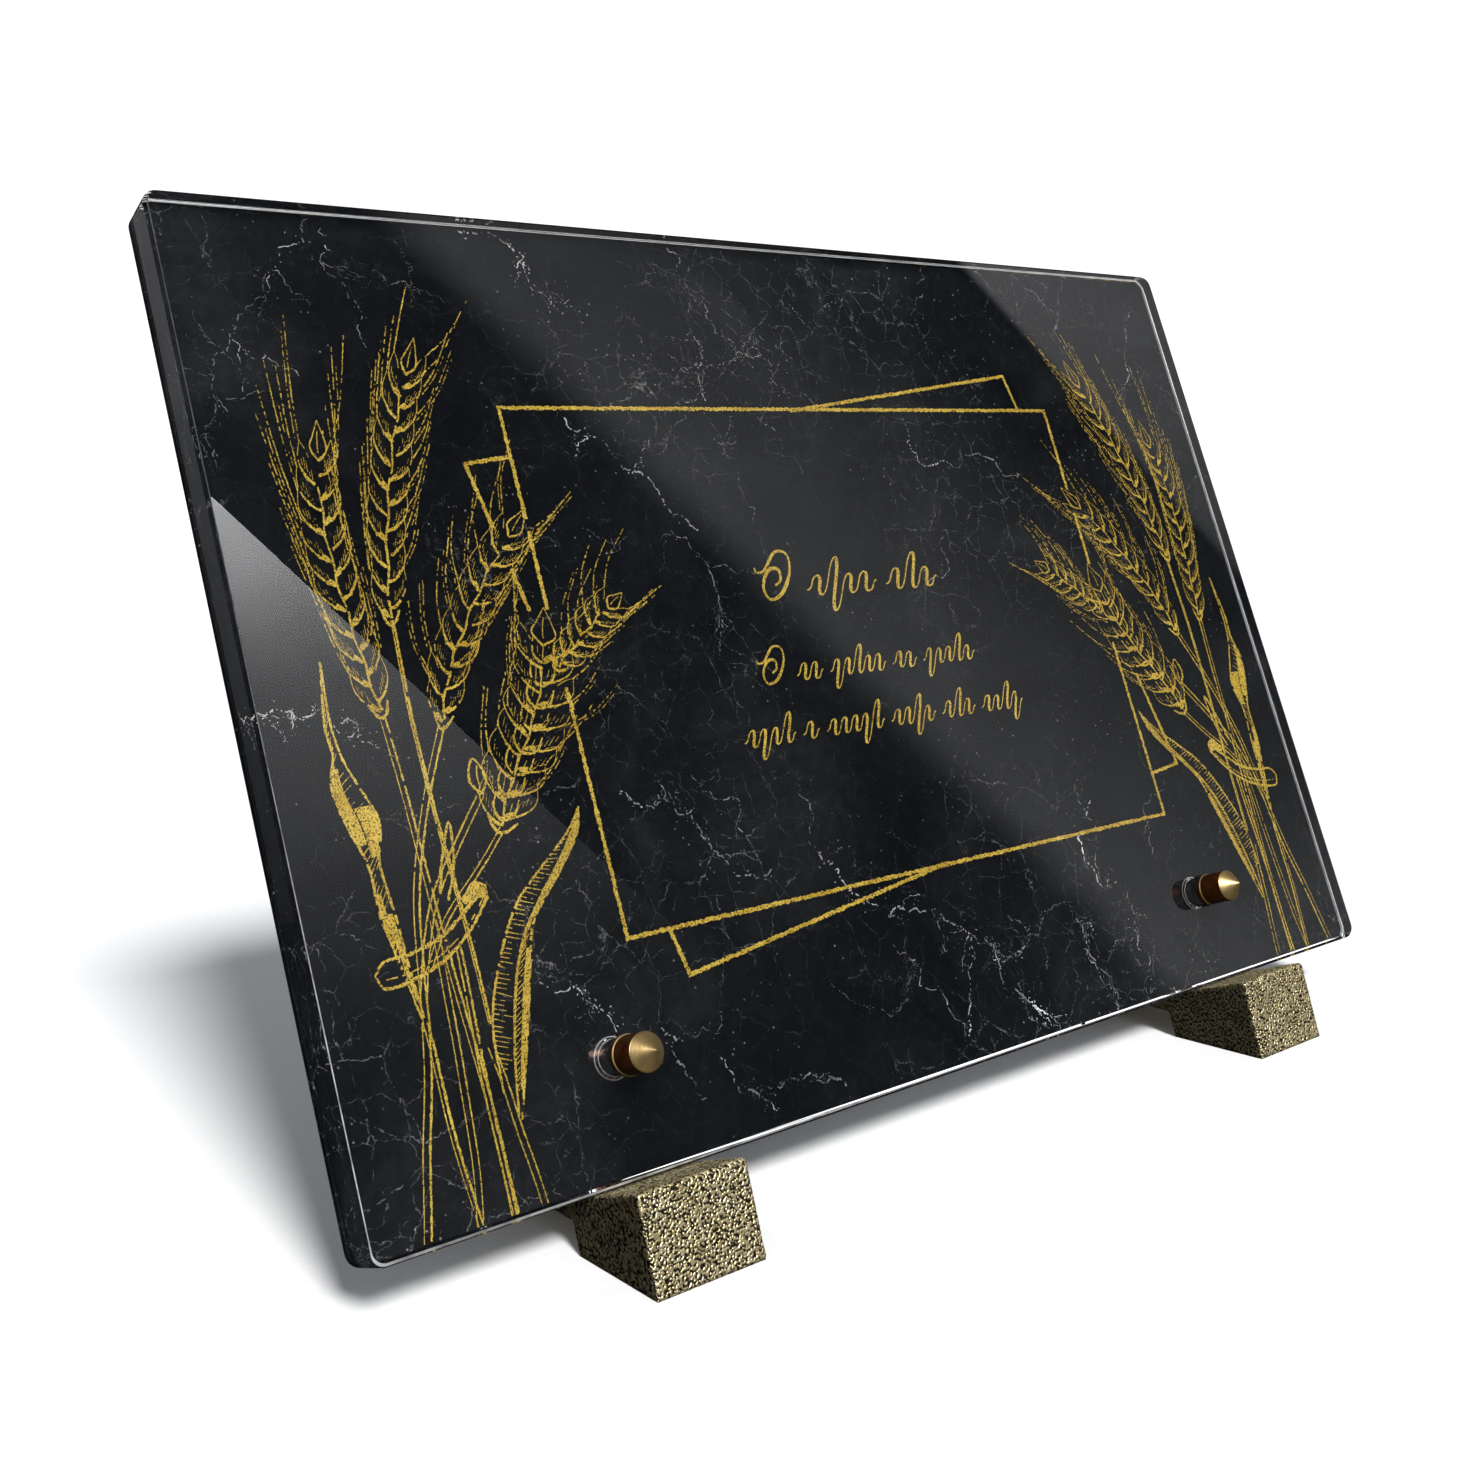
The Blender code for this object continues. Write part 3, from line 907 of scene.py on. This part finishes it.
def build_rims():
    """Painted highlights: light lines on the front chamfer at the left and below, and along the print's top
    and right edges.
    """

    def front(up, share):
        below = RIM_WIDTH_BELOW * max(0.0, 1.0 - share / RIM_REACH_BELOW) ** 0.5
        width = RIM_WIDTH + (below - RIM_WIDTH) * max(0.0, -up)
        start = PLATE_CHAMFER - RIM_LIFT
        return (start, -RIM_LIFT), (start - width, width - RIM_LIFT)

    def behind(width):
        start = PLATE_THICKNESS - PLATE_CHAMFER + RIM_LIFT
        return lambda up, share: ((RIM_INSET, start), (RIM_INSET + width, start + width))

    build_rim("front_rim", rim_material(), front, lambda across, up: across < -0.9 or up < -0.4)
    top = back_rim_material("top_edge_painted_highlight", 0.70, 0.98)
    build_rim("top_rim", top, behind(TOP_RIM_WIDTH), lambda across, up: up > 0.3)
    side = back_rim_material("side_edge_painted_light", 0.16, 0.30)
    build_rim("right_rim", side, behind(SIDE_RIM_WIDTH), lambda across, up: across > 0.3)
    draw_hole_rings(side)


def draw_hole_rings(material):
    """A painted light line round each screw's hole in the print."""
    ink = Ink(71, depth=GROUND_FRONT - RIM_LIFT, grit=0.10)
    radius = (PLATE_HOLE_FLARED + HOLE_LINE / 2) / MM
    for _, x in screw_places():
        turn = np.linspace(0.0, math.tau, 90)
        circle = np.stack([x / MM + radius * np.cos(turn), SCREW_HEIGHT / MM + radius * np.sin(turn)], axis=1)
        ink.stroke(circle, (HOLE_LINE / MM, HOLE_LINE / MM))
    ink.finish("hole_rings", material, "silver_edge")


def fine_copy(node, name):
    """A closed, finely meshed copy of a CAD piece, as a new object."""
    made = linked(name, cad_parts[node].data.copy())
    remesh = made.modifiers.new("remesh", "REMESH")
    remesh.mode = "VOXEL"
    remesh.voxel_size = HAMMER_VOXEL
    settle(made)
    split_toe(made.data)
    return made


def split_toe(mesh):
    """Finer faces on the toe: nine for one on its front, and four for one on its sides."""
    for cuts, wanted in (
        (2, lambda face: face.normal.y < -0.6),
        (1, lambda face: abs(face.normal.x) > 0.6 and face.calc_area() > HAMMER_VOXEL**2 / 2),
    ):
        shape = bmesh.new()
        shape.from_mesh(mesh)
        shape.faces.ensure_lookup_table()
        chosen = [face for face in shape.faces if face.calc_center_median().y < TOE_BACK and wanted(face)]
        edges = list({edge for face in chosen for edge in face.edges})
        bmesh.ops.subdivide_edges(shape, edges=edges, cuts=cuts, use_grid_fill=True)
        shape.to_mesh(mesh)
        shape.free()


def build_foot(side, material):
    """A cast foot covered by small bumps with dark pits between them, deepest on its front. Its tone holds
    painted shade on its sides and back and painted light on its top.
    """
    made = fine_copy(f"{side}_foot", f"{side}_cast_foot")
    mesh = made.data
    count = len(mesh.vertices)
    places = np.empty((count, 3), np.float32)
    normals = np.empty((count, 3), np.float32)
    mesh.vertices.foreach_get("co", places.ravel())
    mesh.vertices.foreach_get("normal", normals.ravel())
    pits = np.empty(count, np.float32)
    # Painted shade on the sides and back and painted light on the top, by the way each point faces
    painted_light_tones = np.interp(np.abs(normals[:, 0]), (0.3, 0.8), (1.0, SIDE_PAINTED_SHADE)).astype(np.float32)
    painted_light_tones *= np.interp(normals[:, 1], (0.2, 0.7), (1.0, BACK_PAINTED_SHADE)).astype(np.float32)
    painted_light_tones *= np.interp(normals[:, 2], (0.6, 0.9), (1.0, TOP_PAINTED_LIGHT)).astype(np.float32)
    for index, (place, normal) in enumerate(zip(places, normals)):
        on_toe = place[1] < TOE_BACK
        front = float(np.clip((-normal[1] - 0.55) / 0.3, 0.0, 1.0)) if on_toe else 0.0
        spot = Vector(place) * (HAMMER_SCALE if on_toe else HAMMER_SCALE_BEHIND)
        bump = noise.noise(spot) + FINE_BUMP * noise.noise(spot * 2.1)
        pit = float(np.clip((PIT_START - bump) / PIT_FALL, 0.0, 1.0))
        pits[index] = pit * (1.0 if on_toe else 0.5)
        depth = HAMMER_DEPTH_SIDES + (HAMMER_DEPTH - HAMMER_DEPTH_SIDES) * front
        if normal[2] > -0.7 or place[2] > GROUND_CONTACT:
            places[index] -= normal * depth * max(0.0, pit * 0.75 + 0.25 * (0.5 - bump))
    low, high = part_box(f"{side}_foot")
    places = np.clip(places, np.array(low, np.float32), np.array(high, np.float32))
    mesh.vertices.foreach_set("co", places.ravel())
    # The tone attribute carries the painted shade and painted light
    for name, values in (("pit", pits), ("tone", painted_light_tones)):
        stored = mesh.attributes.new(name, "FLOAT", "POINT")
        stored.data.foreach_set("value", values)
    mesh.materials.clear()
    mesh.materials.append(material)
    mesh.shade_smooth()
    mesh.update()
    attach(made, "root")
    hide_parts(f"{side}_foot")


def bronze_paint():
    """Olive gold metal paint that is near black in the pits, with painted shade and painted light from the
    tone attribute.
    """
    shader = Shader("hammered_bronze_paint")
    pit = shader.add("Attribute", output="Fac", attribute_name="pit")
    gold = shader.ramp(shader.noise(300.0, 3.0, 0.6), (0.3, (0.52, 0.42, 0.21)), (0.7, (0.76, 0.66, 0.40)))
    shade = shader.ramp(pit, (0.10, 1.0), (0.45, 0.30), (0.80, 0.015))
    # Painted shade on the sides and back and painted light on the top, from the tone attribute
    shade = shader.times(shade, shader.add("Attribute", output="Color", attribute_name="tone"))
    rough = shader.ramp(pit, (0.0, 0.30), (0.7, 0.6))
    colour = shader.times(gold, shade)
    shader.principled(Base_Color=colour, Metallic=0.7, Roughness=rough, Specular_IOR_Level=0.4)
    shader.bump(shader.noise(4200.0, 3.0, 0.7), 0.35, 0.00008)
    return shader.material


# The screws, in metres
CAP_LENGTH = 0.0058
CAP_RADIUS = 0.00385
CAP_CONE = 0.0034
CAP_SEAT = 0.0003
CAP_FLANGE = 0.0014
CAP_LIP = 0.0002
COLLAR_RADIUS = 0.0034
SHANK_RADIUS = 0.0020
SHANK_END = 0.0206
CAP_STEPS = 128
CAP_GROOVES = 26
GROOVE_DEPTH = 0.000012
FLANGE_TOP = -CAP_SEAT - CAP_FLANGE
SHOULDER = FLANGE_TOP - CAP_LENGTH


def cap_profile():
    """The screw's outline from its tip to the end of its shank, as (depth behind the face, radius)."""
    tip = SHOULDER - CAP_CONE
    profile = [(tip, 0.0), (tip + 0.00006, 0.00012)]
    for groove in range(1, CAP_GROOVES):
        share = groove / CAP_GROOVES
        cut = GROOVE_DEPTH * (1 if groove % 2 else -1)
        profile.append((tip + CAP_CONE * share + cut, CAP_RADIUS * share))
    return profile + [
        (SHOULDER - 0.00010, CAP_RADIUS - 0.00016),
        (SHOULDER, CAP_RADIUS - 0.00004),
        (SHOULDER + 0.00012, CAP_RADIUS),
        (FLANGE_TOP - 0.00025, CAP_RADIUS),
        (FLANGE_TOP - 0.00012, CAP_RADIUS - 0.00012),
        (FLANGE_TOP + 0.00002, CAP_RADIUS - 0.00012),
        (FLANGE_TOP + 0.00006, CAP_RADIUS + CAP_LIP * 0.6),
        (FLANGE_TOP + 0.00018, CAP_RADIUS + CAP_LIP),
        (FLANGE_TOP + 0.00024, CAP_RADIUS + CAP_LIP),
        (-CAP_SEAT - 0.00025, CAP_RADIUS + CAP_LIP),
        (-CAP_SEAT, CAP_RADIUS + CAP_LIP * 0.5),
        (-CAP_SEAT, COLLAR_RADIUS),
        (PLATE_THICKNESS - 0.0002, COLLAR_RADIUS),
        (PLATE_THICKNESS, COLLAR_RADIUS - 0.0002),
        (PLATE_THICKNESS, SHANK_RADIUS),
        (SHANK_END - 0.0003, SHANK_RADIUS),
        (SHANK_END, SHANK_RADIUS - 0.0003),
        (SHANK_END, 0.0),
    ]


def build_screw(side, x, material):
    """A turned screw whose cap is bright on its cone and lip, with painted shade, dark, on its side and below
    the lip.
    """
    shape = bmesh.new()
    cap_painted_shade = shape.verts.layers.float.new("cap_painted_shade")
    reach = shape.verts.layers.float.new("reach")
    rings = []
    for depth, radius in cap_profile():
        ring = []
        # Painted shade on everything but the cone and the lip
        on_lip = FLANGE_TOP + 0.00005 < depth < FLANGE_TOP + 0.00020
        painted_dimming = 0.0 if depth < SHOULDER + 0.0001 or on_lip else 1.0
        for step in range(CAP_STEPS if radius else 1):
            angle = math.tau * step / CAP_STEPS
            across = x + radius * math.cos(angle)
            vertex = shape.verts.new((across, depth, SCREW_HEIGHT + radius * math.sin(angle)))
            vertex[cap_painted_shade] = painted_dimming
            vertex[reach] = radius
            ring.append(vertex)
        rings.append(ring)
    for near, far in zip(rings, rings[1:]):
        for step in range(CAP_STEPS):
            onward = (step + 1) % CAP_STEPS
            if len(near) == 1:
                shape.faces.new((near[0], far[onward], far[step]))
            elif len(far) == 1:
                shape.faces.new((near[step], near[onward], far[0]))
            else:
                shape.faces.new((near[step], near[onward], far[onward], far[step]))
    bmesh.ops.recalc_face_normals(shape, faces=shape.faces)
    made = as_object(f"{side}_turned_screw", shape, material)
    made.data.shade_smooth()
    made.data.set_sharp_from_angle(angle=math.radians(28))
    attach(made, "root")
    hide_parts(f"{side}_screw")


def turned_brass():
    """Brass with fine rings left by the tool, and a dark red-brown painted shade on the cap's side and below
    its lip.
    """
    shader = Shader("turned_brass")
    reach = shader.add("Attribute", output="Fac", attribute_name="reach")
    rings = shader.add("Math", {0: reach, 1: 9000.0}, operation="MULTIPLY")
    turned = shader.add("TexNoise", {"W": rings, "Scale": 1.0, "Detail": 3.0}, noise_dimensions="1D")
    brass = shader.ramp(turned, (0.35, (0.46, 0.31, 0.12)), (0.62, (0.68, 0.49, 0.22)))
    patches = shader.ramp(shader.noise(700.0, 4.0, 0.6), (0.35, 0.82), (0.65, 1.0))
    brass = shader.times(brass, patches)
    # The painted shade: dark red-brown on the cap's side and below its lip
    painted_dimming = shader.add("Attribute", output="Fac", attribute_name="cap_painted_shade")
    spots = shader.noise(500.0, 3.0, 0.6)
    dark = shader.ramp(spots, (0.3, (0.090, 0.026, 0.006)), (0.7, (0.24, 0.085, 0.022)))
    rough = shader.ramp(painted_dimming, (0.0, 0.36), (1.0, 0.25))
    shader.principled(Base_Color=shader.mix(painted_dimming, brass, dark), Metallic=0.85, Roughness=rough)
    shader.bump(turned, 0.5, 0.00005)
    return shader.material


# The studio: a white tent that only the camera sees, one that lights the print, and upright panels in front
# of the plaque and behind it that shine only in its reflections
TENT_RADIUS = 5.0
FLOOR_RADIUS = 2.5
PANEL_PLANE = -1.2
PANEL_COLUMNS = 60
PANEL_ROWS = 24
BACK_PANEL_PLANE = 1.5
PANEL_COLOUR = (0.98, 0.985, 1.0)
LEFT_GLOW_CENTRE = (0.452, 1.187)
KEY_FROM = (-0.31, -1.20, 1.0)
KEY_ANGLE = math.radians(12.0)
KEY_STRENGTH = 4.4
WORLD_COLOUR = (0.93, 0.96, 1.0, 1.0)
WORLD_STRENGTH = 0.28
SEEN_BY = ("camera", "diffuse", "glossy", "transmission")


def seen_only_by(made, *rays):
    """Limit a stage object to the kinds of light ray that are named."""
    for ray in SEEN_BY:
        setattr(made, f"visible_{ray}", ray in rays)
    made.visible_shadow = False
    made.visible_volume_scatter = False


def glowing(name, colour, strength=None):
    """A material that only shines, as strongly as its mesh's glow where no strength is given."""
    shader = Shader(name)
    shader.material.cycles.emission_sampling = "NONE"
    shader.tree.nodes.remove(shader.surface)
    strength = strength or shader.add("Attribute", output="Fac", attribute_name="glow")
    glow = shader.add("Emission", {"Color": (*colour, 1.0), "Strength": strength})
    shader.tree.links.new(glow, shader.tree.nodes["Material Output"].inputs["Surface"])
    return shader.material


def build_floor():
    shader = Shader("studio_floor")
    material = shader.matt(shader.ramp(shader.noise(600.0, 2.0), (0.3, 0.92), (0.7, 0.95)))
    shape = bmesh.new()
    bmesh.ops.create_circle(shape, cap_ends=True, segments=64, radius=FLOOR_RADIUS)
    floor = as_object("floor", shape, material, Matrix.Identity(4))
    seen_only_by(floor, "camera", "transmission")
    floor.visible_shadow = True


def build_tent():
    """Two globes: one white to the camera, and one that lights the print through the clear plate."""
    for name, strength, ray in (("white_tent", 1.15, "camera"), ("print_light_tent", 1.9, "transmission")):
        material = glowing(name, (1.0, 1.0, 1.0), strength)
        shape = bmesh.new()
        bmesh.ops.create_uvsphere(shape, u_segments=48, v_segments=24, radius=TENT_RADIUS)
        tent = as_object(name, shape, material, Matrix.Identity(4))
        seen_only_by(tent, ray)


def build_panel(name, start, end, reach, glow, plane=PANEL_PLANE):
    """A reflector with one side from start to end that reaches away from it, as (across, up) in metres.

    Its glow is a function of (across, up, share of the reach) and is kept at the mesh's points.
    """
    start, end, reach = Vector(start), Vector(end), Vector(reach)
    shape = bmesh.new()
    layer = shape.verts.layers.float.new("glow")
    grid = []
    for row in range(PANEL_ROWS + 1):
        line = []
        for column in range(PANEL_COLUMNS + 1):
            across, up = start + (end - start) * row / PANEL_ROWS + reach * column / PANEL_COLUMNS
            vertex = shape.verts.new((across, plane, up))
            vertex[layer] = glow(across, up, column / PANEL_COLUMNS)
            line.append(vertex)
        grid.append(line)
    for low, high in zip(grid, grid[1:]):
        for a, b, c, d in zip(low, low[1:], high[1:], high):
            shape.faces.new((a, b, c, d))
    panel = as_object(name, shape, glowing(name, PANEL_COLOUR), Matrix.Identity(4))
    seen_only_by(panel, "glossy")


def left_glow(across, up, share):
    """Brightest beside the upper end of the sharp side, falling off with the distance from it."""
    distance = math.dist((across, up), LEFT_GLOW_CENTRE)
    distances = (0.0, 0.05, 0.10, 0.15, 0.20, 0.25, 0.30, 0.36, 0.43, 0.55, 0.72, 0.90)
    strengths = (8.8, 7.7, 6.6, 4.6, 3.1, 2.1, 1.45, 1.15, 0.95, 0.45, 0.06, 0.0)
    return float(np.interp(distance, distances, strengths))


def fade(share, width):
    """A soft rise from 0 to 1 over the first part of the way."""
    risen = min(1.0, share / width)
    return risen * risen * (3.0 - 2.0 * risen)


def middle_glow(across, up, share):
    return 0.72 * fade(share, 0.14) * (1.0 - share) ** 1.3


def right_glow(across, up, share):
    top = float(np.interp(up, (0.7, 1.2, 1.75, 1.95), (0.28, 0.34, 1.05, 1.4)))
    return fade(share, 0.05) * (top * (1.0 - share) ** 0.8 + 0.2 * share)


def back_left_glow(across, up, share):
    return float(np.interp(up, (-0.3, 0.1, 0.8), (0.03, 0.12, 0.36)))


def build_studio():
    build_floor()
    build_tent()
    build_panel("left_panel", (0.37, 1.359), (0.90, 0.344), (-0.60, -0.38), left_glow)
    build_panel("middle_panel", (0.735, 1.95), (1.57, 0.05), (1.0, 0.0), middle_glow)
    build_panel("right_panel", (2.066, 1.95), (2.33, 0.80), (0.75, 0.0), right_glow)
    build_panel("front_left_panel", (-2.2, -0.2), (-2.2, 1.9), (2.35, 0.0), lambda across, up, share: 0.10)
    build_panel("back_left_panel", (-2.8, -0.3), (-2.8, 2.0), (2.6, 0.0), back_left_glow, BACK_PANEL_PLANE)
    world = bpy.data.worlds.new("studio")
    bpy.context.scene.world = world
    world.use_nodes = True
    background = world.node_tree.nodes["Background"]
    background.inputs["Color"].default_value = WORLD_COLOUR
    background.inputs["Strength"].default_value = WORLD_STRENGTH
    world.cycles_visibility.glossy = False
    build_key()
    bpy.context.scene.view_settings.view_transform = "Standard"


def build_key():
    """A wide soft sun from the front, a little to the left."""
    data = bpy.data.lights.new("key", "SUN")
    data.energy = KEY_STRENGTH
    data.angle = KEY_ANGLE
    key = linked("key", data)
    key.rotation_euler = Vector(KEY_FROM).to_track_quat("Z", "Y").to_euler()
    key.visible_transmission = False


def build_camera():
    data = bpy.data.cameras.new("camera")
    data.sensor_width = 36.0
    data.lens = CAMERA_LENS
    data.shift_x, data.shift_y = CAMERA_SHIFT
    data.clip_start = 0.01
    camera = linked("camera", data)
    camera.location = CAMERA_PLACE
    camera.rotation_euler = [math.radians(angle) for angle in CAMERA_TURN]
    bpy.context.scene.camera = camera


build_camera()
ground_material = build_ground()
build_veins()
build_artwork()
set_material("clear_plate", clear_acrylic())
set_material("marble_panel", ground_material)
build_rims()
bronze = bronze_paint()
brass = turned_brass()
for side, screw_x in screw_places():
    build_foot(side, bronze)
    build_screw(side, screw_x, brass)
build_studio()
